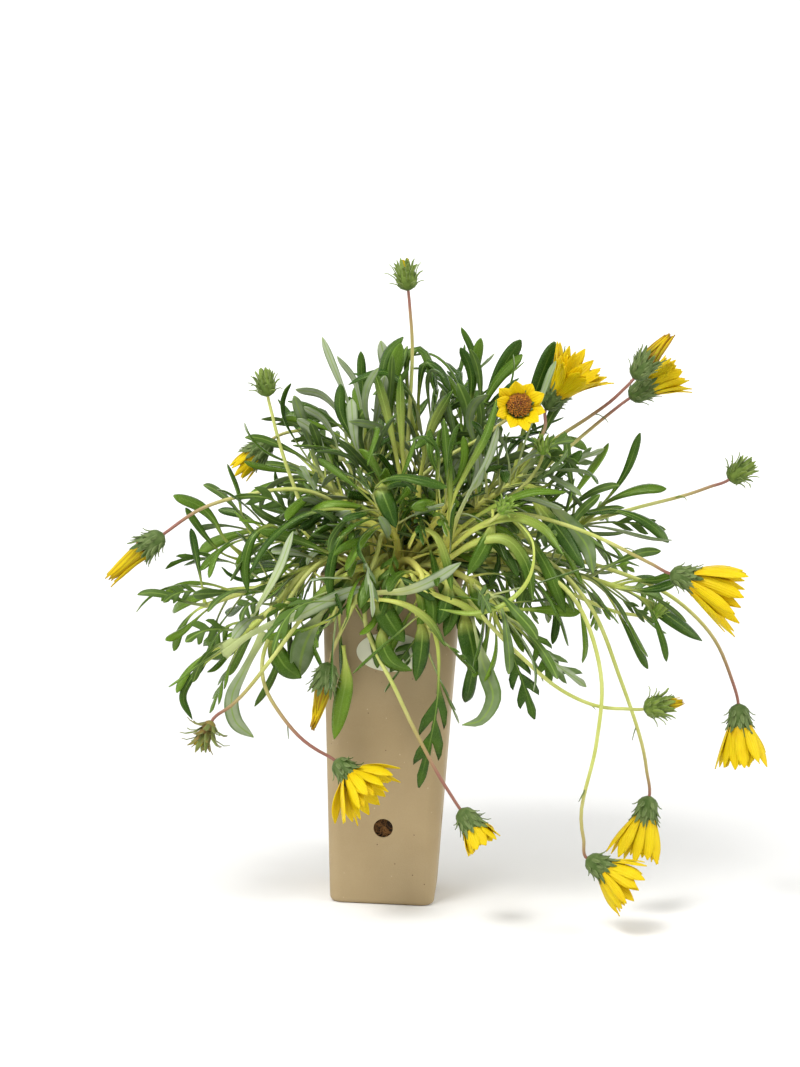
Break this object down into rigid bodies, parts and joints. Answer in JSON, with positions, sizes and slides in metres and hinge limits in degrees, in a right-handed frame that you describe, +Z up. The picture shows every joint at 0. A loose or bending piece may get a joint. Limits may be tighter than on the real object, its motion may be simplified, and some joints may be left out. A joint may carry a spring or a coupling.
{
  "type": "potted gazania",
  "caption": "Trailing daisy plant with yellow flower heads, from tight bud to open, standing in a tall square tapered pot of soil.",
  "frame": {"origin": "middle of the flat underside of the pot, which rests on the ground plane z = 0", "axes": "+Z up, -Y is the front side that carries the label, +X to the right seen from the front"},
  "size_m": [0.3285, 0.1797, 0.3211],
  "materials": {
    "pot": "satin, finely flecked",
    "label": "matte",
    "soil": "rough",
    "stalk": "satin, finely hairy",
    "leaf": "satin, pale and felted below",
    "ray": "silky",
    "disc": "rough"
  },
  "bodies": {
    "root": {"pot": "pot", "label": "label", "soil": "soil", "stalk_top_bud": "stalk", "stalk_left_bud": "stalk", "stalk_left_back": "stalk", "rays_left_back": "ray", "stalk_far_left": "stalk", "rays_far_left": "ray", "stalk_facing": "stalk", "rays_facing": "ray", "disc_facing": "disc", "stalk_top_right": "stalk", "rays_top_right": "ray", "stalk_high_right": "stalk", "rays_high_right": "ray", "stalk_high_right_low": "stalk", "rays_high_right_low": "ray", "stalk_far_right_bud": "stalk", "stalk_right": "stalk", "rays_right": "ray", "stalk_right_hanging": "stalk", "rays_right_hanging": "ray", "stalk_low_bud": "stalk", "stalk_hanging_inner": "stalk", "rays_hanging_inner": "ray", "stalk_lowest": "stalk", "rays_lowest": "ray", "stalk_front_right": "stalk", "rays_front_right": "ray", "stalk_front_left": "stalk", "rays_front_left": "ray", "stalk_drooping": "stalk", "rays_drooping": "ray", "stalk_withered": "stalk", "stalk_small_top_bud": "stalk", "stalk_small_right_bud": "stalk", "stalk_small_centre_bud": "stalk", "shoot_up_left": "leaf", "shoot_up_centre": "leaf", "shoot_up_right": "leaf", "shoot_right_up": "leaf", "shoot_right": "leaf", "shoot_far_right": "leaf", "shoot_right_low": "leaf", "shoot_front_low": "leaf", "shoot_front_low_left": "leaf", "shoot_left_low": "leaf", "shoot_far_left": "leaf", "shoot_left": "leaf", "shoot_left_up": "leaf", "shoot_front_up_left": "leaf", "shoot_front_up_right": "leaf", "shoot_back_left": "leaf", "shoot_back": "leaf", "shoot_back_right": "leaf", "shoot_back_low_left": "leaf", "shoot_back_low_right": "leaf"}
  },
  "joints": []
}
